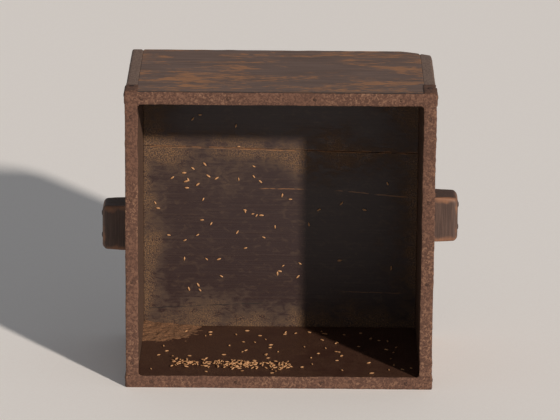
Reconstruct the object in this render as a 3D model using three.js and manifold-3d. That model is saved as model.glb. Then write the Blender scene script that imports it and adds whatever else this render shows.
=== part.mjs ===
// An old square grain measure, lying on one of its side boards with the mouth towards -Y.
// Millimetres, +Z up. The origin is on the floor below the middle of the measure.

import * as THREE from "three";
import { mergeVertices } from "three/addons/utils/BufferGeometryUtils.js";
import Module from "manifold-3d";

const wasm = await Module();
wasm.setup();

// The wooden box
const MOUTH = 342; // outer width and outer height
const DEPTH = 194; // from the face of the iron to the underside of the base
const WALL = 13; // thickness of the four side boards
const BASE = 13; // thickness of the base boards
const BASE_JOINT_LEFT = 230.5; // height of the joint between the base boards at the left wall
const BASE_JOINT_RIGHT = 224; // the same at the right wall: the boards taper
const BASE_JOINT_GAP = 0.5; // the joint has opened
const BACK_EDGE_ROUND = 3; // worn rounding of the outer edges round the base
const SIDE_EDGE_ROUND = 2; // worn rounding of the long outer edges of the side boards
const BACK_CORNER_ROUND = 6; // worn rounding of the upright corners beside the base

// The knocked corner above the right end of the base
const WORN_WIDTH = 30; // along X
const WORN_DEPTH = 34; // along Y
const WORN_DROP = 4.5; // along Z

// The iron rim
const IRON = 2; // thickness of a strap
const STRAP_WIDTH = 14;
const LAP = 1; // thickness that the crossing straps keep in the corners
const BEND = 2.5; // outer radius of a folded end
const LAPPED_BEND = 1.5; // the same where the strap lies behind the other one
const TAB_PROUD = 1; // how far a folded end stands out of the wood
const TAB_UPPER_LEFT = 28; // length of each folded end, from the mouth
const TAB_UPPER_RIGHT = 39;
const TAB_LOWER = 30;
const TAB_SIDE = 28;

// The handles
const HANDLE_REACH = 29; // how far a handle stands out
const HANDLE_HEIGHT = 51.5; // against the wall
const HANDLE_END_HEIGHT = 49; // at the outer end
const HANDLE_THICK = 38; // along Y
const HANDLE_FROM_MOUTH = 90; // mouth to the middle of a handle
const HANDLE_RIGHT_UP = 6.5; // the right handle sits this far above mid-height
const HANDLE_LEFT_DOWN = 6.5; // and the left one this far below it
const HANDLE_SOFTENING = 2; // worn rounding of the front and rear edges
const HANDLE_PLAN_ROUND = 6; // rounding of the outer end, seen from above

// The nails
const SHANK = 2.6; // width of a square shank at the head
const TIP = 0.8; // width of its tip
const RIM_NAIL_LENGTH = 30;
const RIM_NAIL_HEAD = 4.8;
const RIM_NAIL_SINK = 0.25; // the heads lie just below the face of the iron
const RIM_NAIL_EDGE = 0.2; // upright edge of a sunk head
const RIM_NAIL_SPACING = 95;
const RIM_UPPER_NAIL_SHIFT = -10; // the nails of the upper strap sit to the left
const RIM_NAILS = 4; // in each strap
const TAB_NAIL_LENGTH = 15;
const TAB_NAIL_HEAD = 6;
const TAB_NAIL_RISE = 1;
const TAB_NAIL_IN_UPPER = 22; // mouth to the nail of a tab on the upper or lower face
const TAB_NAIL_IN_SIDE = 14; // mouth to the nail of a tab on the left or right face
const BOARD_NAIL_LENGTH = 42;
const BOARD_NAIL_HEAD = 6;
const BOARD_NAIL_HEAD_THICK = 1;
const WALL_NAILS_FROM_MOUTH = [47, 112, 170];
const BASE_NAIL_HEIGHTS = [58, 172, 281];
const HANDLE_NAIL_LENGTH = 40;
const HANDLE_NAIL_HEAD = 7;
const HANDLE_NAIL_RISE = 1.5;
const HANDLE_NAIL_SPACING = 26;

// Room between a piece and the hole or housing made for it
const CLEARANCE = 0.3;

// Planes that follow from the sizes above
const HALF = MOUTH / 2;
const MOUTH_Y = -DEPTH / 2;
const WOOD_FRONT_Y = MOUTH_Y + IRON;
const UNDERSIDE_Y = DEPTH / 2;
const BASE_FACE_Y = UNDERSIDE_Y - BASE;
const INNER_X = HALF - WALL;
const INNER_LOW = WALL;
const INNER_HIGH = MOUTH - WALL;
const RIM_INNER = HALF - STRAP_WIDTH;
const WALL_MID = HALF - WALL / 2;
const STRAP_MID = HALF - STRAP_WIDTH / 2;
const HANDLE_Y = MOUTH_Y + HANDLE_FROM_MOUTH;

const OUT_FRONT = "front";
const OUT_RIGHT = "right";
const OUT_LEFT = "left";
const OUT_UP = "up";
const OUT_DOWN = "down";

// Materials
const sideOak = new THREE.MeshStandardMaterial({ color: 0x5a4a40, roughness: 0.78, metalness: 0 });
const innerOak = new THREE.MeshStandardMaterial({ color: 0x4a3a34, roughness: 0.82, metalness: 0 });
const handleOak = new THREE.MeshStandardMaterial({ color: 0x6c4e38, roughness: 0.7, metalness: 0 });
const rustedIron = new THREE.MeshStandardMaterial({ color: 0x7a5a48, roughness: 0.92, metalness: 0.25 });
const darkIron = new THREE.MeshStandardMaterial({ color: 0x46342b, roughness: 0.85, metalness: 0.4 });

// Closed solids from three.js geometry, and back
function toSolid(geometry) {
  const bare = geometry.clone();
  for (const name of ["normal", "uv"]) {
    bare.deleteAttribute(name);
  }
  const merged = mergeVertices(bare, 1e-4);
  const mesh = new wasm.Mesh({
    numProp: 3,
    vertProperties: new Float32Array(merged.attributes.position.array),
    triVerts: new Uint32Array(merged.index.array),
  });
  return new wasm.Manifold(mesh);
}

function toGeometry(solid) {
  const mesh = solid.getMesh();
  const geometry = new THREE.BufferGeometry();
  geometry.setAttribute("position", new THREE.BufferAttribute(new Float32Array(mesh.vertProperties), 3));
  geometry.setIndex(new THREE.BufferAttribute(new Uint32Array(mesh.triVerts), 1));
  geometry.computeVertexNormals();
  return geometry;
}

// The common part of several geometries
function meeting(...geometries) {
  return toGeometry(geometries.map(toSolid).reduce((all, next) => all.intersect(next)));
}

function joined(...geometries) {
  return toGeometry(geometries.map(toSolid).reduce((all, next) => all.add(next)));
}

// Takes the solid of each tool, where it stands in the measure, out of a piece
function cut(piece, tools) {
  piece.updateMatrixWorld(true);
  const home = piece.matrixWorld.clone().invert();
  let solid = toSolid(piece.geometry);
  for (const tool of tools) {
    tool.updateMatrixWorld(true);
    const moved = tool.geometry.clone().applyMatrix4(home.clone().multiply(tool.matrixWorld));
    solid = solid.subtract(toSolid(moved));
  }
  piece.geometry = toGeometry(solid);
}

// A rectangle with a radius of its own at each corner: low left, low right, high right, high left
function softRectangle(left, low, right, high, radii) {
  const [lowLeft, lowRight, highRight, highLeft] = radii;
  const shape = new THREE.Shape();
  shape.moveTo(left + lowLeft, low);
  shape.lineTo(right - lowRight, low);
  addCorner(shape, right - lowRight, low + lowRight, lowRight, -Math.PI / 2);
  shape.lineTo(right, high - highRight);
  addCorner(shape, right - highRight, high - highRight, highRight, 0);
  shape.lineTo(left + highLeft, high);
  addCorner(shape, left + highLeft, high - highLeft, highLeft, Math.PI / 2);
  shape.lineTo(left, low + lowLeft);
  addCorner(shape, left + lowLeft, low + lowLeft, lowLeft, Math.PI);
  return shape;
}

function addCorner(shape, x, y, radius, start) {
  if (radius > 0) {
    shape.absarc(x, y, radius, start, start + Math.PI / 2);
  }
}

// An outline drawn in the plane across an axis and run along that axis
const OUTLINE_PLANES = {
  x: new THREE.Matrix4().makeBasis(
    new THREE.Vector3(0, 1, 0), new THREE.Vector3(0, 0, 1), new THREE.Vector3(1, 0, 0)),
  y: new THREE.Matrix4().makeBasis(
    new THREE.Vector3(1, 0, 0), new THREE.Vector3(0, 0, 1), new THREE.Vector3(0, -1, 0)),
  z: new THREE.Matrix4(),
};

function extruded(shape, axis, from, to) {
  const geometry = new THREE.ExtrudeGeometry(shape, { depth: to - from, bevelEnabled: false, curveSegments: 5 });
  geometry.translate(0, 0, axis === "y" ? -to : from);
  return geometry.applyMatrix4(OUTLINE_PLANES[axis]);
}

function block(xs, ys, zs) {
  const geometry = new THREE.BoxGeometry(xs[1] - xs[0], ys[1] - ys[0], zs[1] - zs[0]);
  return geometry.translate((xs[0] + xs[1]) / 2, (ys[0] + ys[1]) / 2, (zs[0] + zs[1]) / 2);
}

function piece(name, geometry, material, position = [0, 0, 0]) {
  const mesh = new THREE.Mesh(geometry, material);
  mesh.name = name;
  mesh.position.set(...position);
  return mesh;
}

// Side boards, full height: outline from the front, from above and from the side, worn round at the edges
function sideBoard(name, side) {
  const soft = (radius, outer) => (outer === side ? radius : 0);
  const front = softRectangle(-WALL / 2, -HALF, WALL / 2, HALF, [
    soft(SIDE_EDGE_ROUND, -1), soft(SIDE_EDGE_ROUND, 1), soft(SIDE_EDGE_ROUND, 1), soft(SIDE_EDGE_ROUND, -1)]);
  const above = softRectangle(-WALL / 2, WOOD_FRONT_Y, WALL / 2, UNDERSIDE_Y, [
    0, 0, soft(BACK_CORNER_ROUND, 1), soft(BACK_CORNER_ROUND, -1)]);
  const beside = softRectangle(WOOD_FRONT_Y, -HALF, UNDERSIDE_Y, HALF, [0, BACK_EDGE_ROUND, BACK_EDGE_ROUND, 0]);
  const geometry = meeting(
    extruded(front, "y", WOOD_FRONT_Y, UNDERSIDE_Y),
    extruded(above, "z", -HALF, HALF),
    extruded(beside, "x", -WALL / 2, WALL / 2));
  return piece(name, geometry, sideOak, [side * WALL_MID, 0, HALF]);
}

// Upper and lower boards, butted between the side boards
function crossBoard(name, up) {
  const low = up > 0 ? 0 : BACK_EDGE_ROUND;
  const high = up > 0 ? BACK_EDGE_ROUND : 0;
  const beside = softRectangle(WOOD_FRONT_Y, -WALL / 2, UNDERSIDE_Y, WALL / 2, [0, low, high, 0]);
  return piece(name, extruded(beside, "x", -INNER_X, INNER_X), sideOak, [0, 0, HALF + up * WALL_MID]);
}

// The two boards of the base, edge to edge inside the walls, with a joint that runs aslant
function baseBoard(name, corners) {
  const outline = new THREE.Shape(corners.map(([x, z]) => new THREE.Vector2(x, z)));
  return piece(name, extruded(outline, "y", BASE_FACE_Y, UNDERSIDE_Y), innerOak);
}

// A wedge that stands where the corner above the right end of the base has been knocked down
function wornCorner() {
  const reach = new THREE.Vector3(WORN_WIDTH, WORN_DEPTH, WORN_DROP);
  const normal = new THREE.Vector3(1 / reach.x, 1 / reach.y, 1 / reach.z).normalize();
  const depthOfCorner = 1 / Math.hypot(1 / reach.x, 1 / reach.y, 1 / reach.z);
  const size = 4 * WORN_DEPTH;
  const geometry = new THREE.BoxGeometry(size, size, size).translate(0, 0, size / 2 - depthOfCorner);
  const mesh = piece("", geometry, sideOak, [HALF, UNDERSIDE_Y, MOUTH]);
  mesh.quaternion.setFromUnitVectors(new THREE.Vector3(0, 0, 1), normal);
  return mesh;
}

// The strap in side view. X runs along it, Y away from its face into the measure.
// Both ends fold back over the wood, and in the corners half the thickness is left for the crossing strap.
function strapOutline(ends, tabs, inFront) {
  const [start, end] = ends;
  const [startTab, endTab] = tabs;
  const square = RIM_INNER - CLEARANCE;
  const face = inFront ? 0 : LAP;
  const bend = inFront ? BEND : LAPPED_BEND;
  const back = inFront ? LAP : IRON;
  const shape = new THREE.Shape();
  shape.moveTo(start, startTab);
  shape.lineTo(start, face + bend);
  shape.absarc(start + bend, face + bend, bend, Math.PI, Math.PI * 1.5);
  shape.lineTo(-square, face);
  shape.lineTo(-square, 0);
  shape.lineTo(square, 0);
  shape.lineTo(square, face);
  shape.lineTo(end - bend, face);
  shape.absarc(end - bend, face + bend, bend, -Math.PI / 2, 0);
  shape.lineTo(end, endTab);
  shape.lineTo(end - IRON, endTab);
  shape.lineTo(end - IRON, back);
  shape.lineTo(square, back);
  shape.lineTo(square, IRON);
  shape.lineTo(-square, IRON);
  shape.lineTo(-square, back);
  shape.lineTo(start + IRON, back);
  shape.lineTo(start + IRON, startTab);
  shape.closePath();
  return shape;
}

// Upper and lower straps: they lie in front in the corners and fold back over the side boards
function crossStrap(name, up) {
  const reach = HALF + TAB_PROUD;
  const outline = strapOutline([-reach, reach], [TAB_SIDE, TAB_SIDE], true);
  const geometry = extruded(outline, "z", -STRAP_WIDTH / 2, STRAP_WIDTH / 2);
  return piece(name, geometry, rustedIron, [0, MOUTH_Y, HALF + up * STRAP_MID]);
}

// Left and right straps: they lie behind, and fold back over the upper face and, flush, under the lower one
function sideStrap(name, side, upperTab) {
  const outline = strapOutline([-HALF, HALF + TAB_PROUD], [TAB_LOWER, upperTab], false);
  const strap = extruded(outline, "z", -STRAP_WIDTH / 2, STRAP_WIDTH / 2);
  const outerEdge = HALF + TAB_PROUD - IRON - CLEARANCE - STRAP_MID;
  const corners = [-1, 1].map((end) => {
    const along = [RIM_INNER - CLEARANCE, HALF + 2 * IRON].map((x) => x * end).sort((a, b) => a - b);
    const across = [outerEdge, STRAP_WIDTH].map((z) => -z * side).sort((a, b) => a - b);
    return toSolid(block(along, [-IRON, DEPTH], across));
  });
  const geometry = toGeometry(corners.reduce((solid, corner) => solid.subtract(corner), toSolid(strap)));
  const mesh = piece(name, geometry, rustedIron, [side * STRAP_MID, MOUTH_Y, HALF]);
  mesh.rotation.y = -Math.PI / 2;
  return mesh;
}

// The shallow housing that a folded end lies in: the end itself with room at its sides
function tabHousing(x, z, reach, tab) {
  const wide = STRAP_WIDTH / 2 + CLEARANCE;
  const thick = IRON * 2;
  const xs = reach === "x" ? [0, thick].map((d) => x + Math.sign(x) * d) : [x - wide, x + wide];
  const zs = reach === "z" ? [0, thick].map((d) => z + Math.sign(z - HALF) * d) : [z - wide, z + wide];
  xs.sort((a, b) => a - b);
  zs.sort((a, b) => a - b);
  return piece("", block(xs, [MOUTH_Y - IRON, MOUTH_Y + tab + CLEARANCE], zs), rustedIron);
}

function tabHousings() {
  const sideBed = HALF + TAB_PROUD - IRON;
  const housings = [];
  for (const side of [-1, 1]) {
    housings.push(tabHousing(side * STRAP_MID, MOUTH + TAB_PROUD - IRON, "z", side < 0 ? TAB_UPPER_LEFT : TAB_UPPER_RIGHT));
    housings.push(tabHousing(side * STRAP_MID, IRON, "z", TAB_LOWER));
    for (const up of [-1, 1]) {
      housings.push(tabHousing(side * sideBed, HALF + up * STRAP_MID, "x", TAB_SIDE));
    }
  }
  return housings;
}

// A handle: a block with rounded outer corners and softened edges, flat against the wall.
// Built on the right and mirrored for the left.
function handle(name, side, height, upperRound, lowerRound) {
  const past = 2 * HANDLE_SOFTENING;
  const inset = HANDLE_SOFTENING;
  const wallHigh = HANDLE_HEIGHT / 2 - inset;
  const endHigh = HANDLE_END_HEIGHT / 2 - inset;
  const end = HANDLE_REACH - inset;
  const face = new THREE.Shape();
  face.moveTo(-past, -wallHigh);
  face.lineTo(0, -wallHigh);
  face.lineTo(end - lowerRound, -endHigh);
  face.quadraticCurveTo(end, -endHigh, end, -endHigh + lowerRound);
  face.lineTo(end, endHigh - upperRound);
  face.quadraticCurveTo(end, endHigh, end - upperRound, endHigh);
  face.lineTo(0, wallHigh);
  face.lineTo(-past, wallHigh);
  face.closePath();
  const softened = new THREE.ExtrudeGeometry(face, {
    depth: HANDLE_THICK - 2 * HANDLE_SOFTENING,
    bevelThickness: HANDLE_SOFTENING,
    bevelSize: HANDLE_SOFTENING,
    bevelSegments: 3,
    curveSegments: 6,
  });
  softened.translate(0, 0, HANDLE_SOFTENING - HANDLE_THICK / 2);
  softened.applyMatrix4(OUTLINE_PLANES.y);
  const thick = HANDLE_THICK / 2;
  const plan = softRectangle(0, -thick, HANDLE_REACH, thick, [0, HANDLE_PLAN_ROUND, HANDLE_PLAN_ROUND, 0]);
  let geometry = meeting(softened, extruded(plan, "z", -HANDLE_HEIGHT, HANDLE_HEIGHT));
  if (side < 0) {
    geometry = mirrored(geometry);
  }
  return piece(name, geometry, handleOak, [side * HALF, HANDLE_Y, height]);
}

// Left and right changed over, with each triangle turned so that it still faces out
function mirrored(geometry) {
  const flipped = geometry.clone().applyMatrix4(new THREE.Matrix4().makeScale(-1, 1, 1));
  const index = flipped.index.array;
  for (let i = 0; i < index.length; i += 3) {
    [index[i], index[i + 1]] = [index[i + 1], index[i]];
  }
  flipped.computeVertexNormals();
  return flipped;
}

// Forged nails. The head's outline and a square tapering shank; the face that the nail is driven into is z = 0.
const NAIL_KINDS = {
  rim: { length: RIM_NAIL_LENGTH, sunk: true, head: sunkHead },
  underTab: { length: TAB_NAIL_LENGTH, sunk: true, head: sunkHead },
  board: {
    length: BOARD_NAIL_LENGTH,
    sunk: true,
    head: (room) => [
      [0, room ? IRON : 0], [BOARD_NAIL_HEAD / 2 + room, room ? IRON : 0],
      [BOARD_NAIL_HEAD / 2 + room, -BOARD_NAIL_HEAD_THICK - room], [0, -BOARD_NAIL_HEAD_THICK - room]],
  },
  tab: {
    length: TAB_NAIL_LENGTH,
    sunk: false,
    head: () => domeOutline(TAB_NAIL_HEAD / 2, TAB_NAIL_RISE),
  },
  handle: {
    length: HANDLE_NAIL_LENGTH,
    sunk: false,
    head: () => domeOutline(HANDLE_NAIL_HEAD / 2, HANDLE_NAIL_RISE),
  },
};

// A cone-shaped head that lies just below the face of the iron
function sunkHead(room) {
  const top = room ? IRON : -RIM_NAIL_SINK;
  const radius = RIM_NAIL_HEAD / 2 + room;
  return [[0, top], [radius, top], [radius, -RIM_NAIL_SINK - RIM_NAIL_EDGE], [SHANK / 2 + room, -IRON], [0, -IRON]];
}

function domeOutline(radius, rise) {
  return [[0, rise], [radius * 0.55, rise * 0.85], [radius, rise * 0.35], [radius, 0], [0, 0]];
}

function shank(length, room) {
  const start = -0.5;
  const run = length + start + room;
  const corner = Math.SQRT1_2;
  const geometry = new THREE.CylinderGeometry(SHANK * corner + room, TIP * corner + room, run, 4, 1);
  geometry.rotateY(Math.PI / 4);
  return geometry.rotateX(Math.PI / 2).translate(0, 0, start - run / 2);
}

function nailGeometry(kind, room) {
  const { length, sunk, head } = NAIL_KINDS[kind];
  const long = shank(length, room);
  if (room && !sunk) {
    return joined(long, shankRoot(room));
  }
  const outline = head(room).reverse().map(([r, z]) => new THREE.Vector2(r, z));
  const round = new THREE.LatheGeometry(outline, 12).rotateX(Math.PI / 2);
  return joined(long, shankRoot(room), round);
}

// The shank between the head and the place where its taper starts
function shankRoot(room) {
  const half = SHANK / 2 + room * Math.SQRT1_2;
  return block([-half, half], [-half, half], [-0.75, room ? 0.5 : 0]);
}

const FACINGS = {
  [OUT_FRONT]: [Math.PI / 2, 0, 0],
  [OUT_RIGHT]: [0, Math.PI / 2, 0],
  [OUT_LEFT]: [0, -Math.PI / 2, 0],
  [OUT_UP]: [0, 0, 0],
  [OUT_DOWN]: [Math.PI, 0, 0],
};

function nail(name, kind, facing, position, room = 0) {
  const mesh = piece(name, nailGeometry(kind, room), darkIron, position);
  mesh.rotation.set(...FACINGS[facing]);
  return mesh;
}

// Where every nail goes: name, kind, the way its head faces, the point on the face
function nailPlan() {
  const plan = [];
  const along = [...Array(RIM_NAILS).keys()].map((i) => (i - (RIM_NAILS - 1) / 2) * RIM_NAIL_SPACING);
  along.forEach((step, i) => {
    const number = i + 1;
    const upperX = step + RIM_UPPER_NAIL_SHIFT;
    plan.push([`rim_upper_nail_${number}`, "rim", OUT_FRONT, [upperX, MOUTH_Y, HALF + STRAP_MID]]);
    plan.push([`rim_lower_nail_${number}`, "rim", OUT_FRONT, [step, MOUTH_Y, HALF - STRAP_MID]]);
    plan.push([`rim_left_nail_${number}`, "rim", OUT_FRONT, [-STRAP_MID, MOUTH_Y, HALF + step]]);
    plan.push([`rim_right_nail_${number}`, "rim", OUT_FRONT, [STRAP_MID, MOUTH_Y, HALF + step]]);
  });
  for (const [sideName, side, outward] of [["left", -1, OUT_LEFT], ["right", 1, OUT_RIGHT]]) {
    const tabY = MOUTH_Y + TAB_NAIL_IN_UPPER;
    plan.push([`tab_nail_over_${sideName}`, "tab", OUT_UP, [side * STRAP_MID, tabY, MOUTH + TAB_PROUD]]);
    plan.push([`tab_nail_under_${sideName}`, "underTab", OUT_DOWN, [side * STRAP_MID, tabY, 0]]);
    for (const [upName, up] of [["upper", 1], ["lower", -1]]) {
      const sideY = MOUTH_Y + TAB_NAIL_IN_SIDE;
      const height = HALF + up * STRAP_MID;
      plan.push([`tab_nail_${sideName}_${upName}`, "tab", outward, [side * (HALF + TAB_PROUD), sideY, height]]);
      WALL_NAILS_FROM_MOUTH.forEach((from, i) => {
        const spot = [side * HALF, MOUTH_Y + from, HALF + up * WALL_MID];
        plan.push([`${sideName}_wall_nail_${upName}_${i + 1}`, "board", outward, spot]);
      });
    }
    BASE_NAIL_HEIGHTS.forEach((height, i) => {
      const spot = [side * HALF, UNDERSIDE_Y - BASE / 2, height];
      plan.push([`${sideName}_base_nail_${i + 1}`, "board", outward, spot]);
    });
    const handleHeight = side < 0 ? HALF - HANDLE_LEFT_DOWN : HALF + HANDLE_RIGHT_UP;
    [-1, 1].forEach((up, i) => {
      const spot = [side * (HALF + HANDLE_REACH), HANDLE_Y, handleHeight + (up * HANDLE_NAIL_SPACING) / 2];
      plan.push([`${sideName}_handle_nail_${i + 1}`, "handle", outward, spot]);
    });
  }
  return plan;
}

// The measure put together
function box() {
  const group = new THREE.Group();
  group.add(sideBoard("left_wall", -1), sideBoard("right_wall", 1));
  group.add(crossBoard("upper_wall", 1), crossBoard("lower_wall", -1));
  const gap = BASE_JOINT_GAP / 2;
  group.add(baseBoard("base_wide", [
    [-INNER_X, INNER_LOW], [INNER_X, INNER_LOW],
    [INNER_X, BASE_JOINT_RIGHT - gap], [-INNER_X, BASE_JOINT_LEFT - gap]]));
  group.add(baseBoard("base_narrow", [
    [-INNER_X, BASE_JOINT_LEFT + gap], [INNER_X, BASE_JOINT_RIGHT + gap],
    [INNER_X, INNER_HIGH], [-INNER_X, INNER_HIGH]]));
  return group;
}

function rim() {
  const group = new THREE.Group();
  group.add(crossStrap("rim_upper", 1), crossStrap("rim_lower", -1));
  group.add(sideStrap("rim_left", -1, TAB_UPPER_LEFT), sideStrap("rim_right", 1, TAB_UPPER_RIGHT));
  return group;
}

function handles() {
  const group = new THREE.Group();
  group.add(handle("handle_right", 1, HALF + HANDLE_RIGHT_UP, 6, 11));
  group.add(handle("handle_left", -1, HALF - HANDLE_LEFT_DOWN, 9, 7));
  return group;
}

function nails() {
  const group = new THREE.Group();
  for (const entry of nailPlan()) {
    group.add(nail(...entry));
  }
  return group;
}

const measure = new THREE.Group();
const boards = box();
const straps = rim();
const lugs = handles();
measure.add(boards, straps, lugs, nails());

const bores = nailPlan().map((entry) => nail(...entry, CLEARANCE));
const housings = tabHousings();
for (const board of boards.children) {
  cut(board, [...housings, wornCorner(), ...bores]);
}
for (const part of [...straps.children, ...lugs.children]) {
  cut(part, bores);
}

export default measure;
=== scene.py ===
"""Looks of an old square grain measure that lies on its side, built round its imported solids.

Lengths are in metres, and those whose name ends in _mm are in millimetres. X runs from the left handle to
the right one, Y from the mouth to the underside of the base, and Z up.
"""

import logging
import math
import random
from dataclasses import dataclass, field
from enum import Enum
from functools import cache
from typing import Callable, Sequence

import bpy
import numpy as np
from mathutils import Euler, Matrix, Vector, noise


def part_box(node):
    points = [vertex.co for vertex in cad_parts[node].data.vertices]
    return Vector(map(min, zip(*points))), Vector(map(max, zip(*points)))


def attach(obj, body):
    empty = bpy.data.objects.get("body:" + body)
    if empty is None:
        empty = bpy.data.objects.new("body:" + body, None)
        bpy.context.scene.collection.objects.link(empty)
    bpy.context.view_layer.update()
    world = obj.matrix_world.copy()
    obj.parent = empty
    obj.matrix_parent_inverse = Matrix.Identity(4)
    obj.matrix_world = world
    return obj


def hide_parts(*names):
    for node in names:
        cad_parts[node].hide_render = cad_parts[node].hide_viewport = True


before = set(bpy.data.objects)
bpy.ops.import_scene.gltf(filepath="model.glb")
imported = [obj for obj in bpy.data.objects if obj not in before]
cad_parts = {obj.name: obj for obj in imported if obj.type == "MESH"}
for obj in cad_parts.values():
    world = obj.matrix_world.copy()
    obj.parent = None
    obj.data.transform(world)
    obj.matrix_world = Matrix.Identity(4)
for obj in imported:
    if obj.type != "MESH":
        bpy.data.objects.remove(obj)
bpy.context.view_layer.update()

log = logging.getLogger("grain_measure")

MM = 0.001
BODY = "root"
SEED = 18

Point = tuple[float, float, float]
Socket = bpy.types.NodeSocket

# Settings that many nodes share
SMOOTH = {"interpolation_type": "SMOOTHSTEP"}
COLOURS = {"data_type": "RGBA"}


class Axis(Enum):
    """An axis of the frame, such as the one that the fibres of a board run along."""

    X = 0
    Y = 1
    Z = 2


def linear(hex_colour: str) -> tuple[float, float, float, float]:
    """Turn an sRGB hex colour into the linear values that the shaders take.

    Args:
        hex_colour: Six hex digits after a hash sign.

    Returns:
        Red, green, blue and full opacity.
    """
    values = []
    for start in (1, 3, 5):
        share = int(hex_colour[start:start + 2], 16) / 255
        values.append(share / 12.92 if share <= 0.04045 else ((share + 0.055) / 1.055) ** 2.4)
    return values[0], values[1], values[2], 1.0


@cache
def solid_box(node: str) -> tuple[Vector, Vector]:
    """Lowest and highest corner of a solid, read once."""
    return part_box(node)


# Finishes

@dataclass(frozen=True)
class Graph:
    """The nodes of a material or of the surroundings."""

    tree: bpy.types.NodeTree

    def feed(self, socket: Socket, value: object) -> None:
        """Set an input to a value, or link it where the value is an output socket.

        Args:
            socket: The input.
            value: The value or the output socket.
        """
        if isinstance(value, Socket):
            self.tree.links.new(value, socket)
        else:
            socket.default_value = value

    def add(self, kind: str, inputs: dict, output: int | str = 0, **settings: object) -> Socket:
        """Add a node with its settings and what feeds it.

        Args:
            kind: The node's type, without the words that all types begin with.
            inputs: A value or an output socket for each input, by the input's name or number.
            output: Name or number of the output that is handed back.
            settings: The node's own settings.

        Returns:
            The output socket.
        """
        node = self.tree.nodes.new(f"ShaderNode{kind}")
        for name, value in settings.items():
            setattr(node, name, value)
        for key, value in inputs.items():
            self.feed(node.inputs[key], value)
        return node.outputs[output] if len(node.outputs) else None

    def coordinate(self, axis: Axis) -> Socket:
        """Place of the shaded point along an axis of the frame, in metres."""
        return self.add("SeparateXYZ", {0: self.add("TexCoord", {}, "Object")}, axis.value)

    def pattern(self, size_mm: Sequence[float], detail: float, offset: float = 0.0,
                bend: float = 0.0) -> Socket:
        """Make a noise whose patches have a real size along each axis.

        Args:
            size_mm: Size of a patch along X, Y and Z.
            detail: How many finer layers the noise has.
            offset: Moves the noise, so that two of one size differ.
            bend: How far the patches are bent.

        Returns:
            The noise, from nought to one.
        """
        scale = tuple(1 / (size * MM) for size in size_mm)
        shift = (offset, offset * 1.7, offset * 2.3)
        place = self.add("TexCoord", {}, "Object")
        place = self.add("Mapping", {"Vector": place, "Scale": scale, "Location": shift})
        return self.add("TexNoise", {"Vector": place, "Scale": 1.0, "Detail": detail, "Distortion": bend})


@dataclass(frozen=True)
class Layers:
    """What a finish hands to the shader: each field is a value or an output socket."""

    colour: Socket
    roughness: Socket | float
    relief: Socket
    relief_mm: float
    metallic: float = 0.0


@dataclass(frozen=True)
class Finish:
    """A real material with the surface that its making and its use have left."""

    name: str

    def layers(self, graph: Graph) -> Layers:
        """Colour, roughness and relief of the surface; each finish has its own."""
        raise NotImplementedError

    def material(self) -> bpy.types.Material:
        """Build the material.

        Returns:
            The finished material.
        """
        material = bpy.data.materials.new(self.name)
        material.use_nodes = True
        graph = Graph(material.node_tree)
        shader = next(node for node in graph.tree.nodes if node.type == "BSDF_PRINCIPLED")
        layers = self.layers(graph)
        depth = layers.relief_mm * MM
        bump = graph.add("Bump", {"Strength": 1.0, "Distance": depth, "Height": layers.relief})
        graph.feed(shader.inputs["Base Color"], layers.colour)
        graph.feed(shader.inputs["Roughness"], layers.roughness)
        graph.feed(shader.inputs["Metallic"], layers.metallic)
        graph.feed(shader.inputs["Normal"], bump)
        return material


@dataclass(frozen=True)
class Oak(Finish):
    """Oak whose fibres run along an axis."""

    grain: Axis

    def sizes(self, along_mm: float, across_mm: float) -> list[float]:
        """Size along X, Y and Z of a patch that is drawn out along the fibres."""
        return [along_mm if axis is self.grain else across_mm for axis in Axis]


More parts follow.
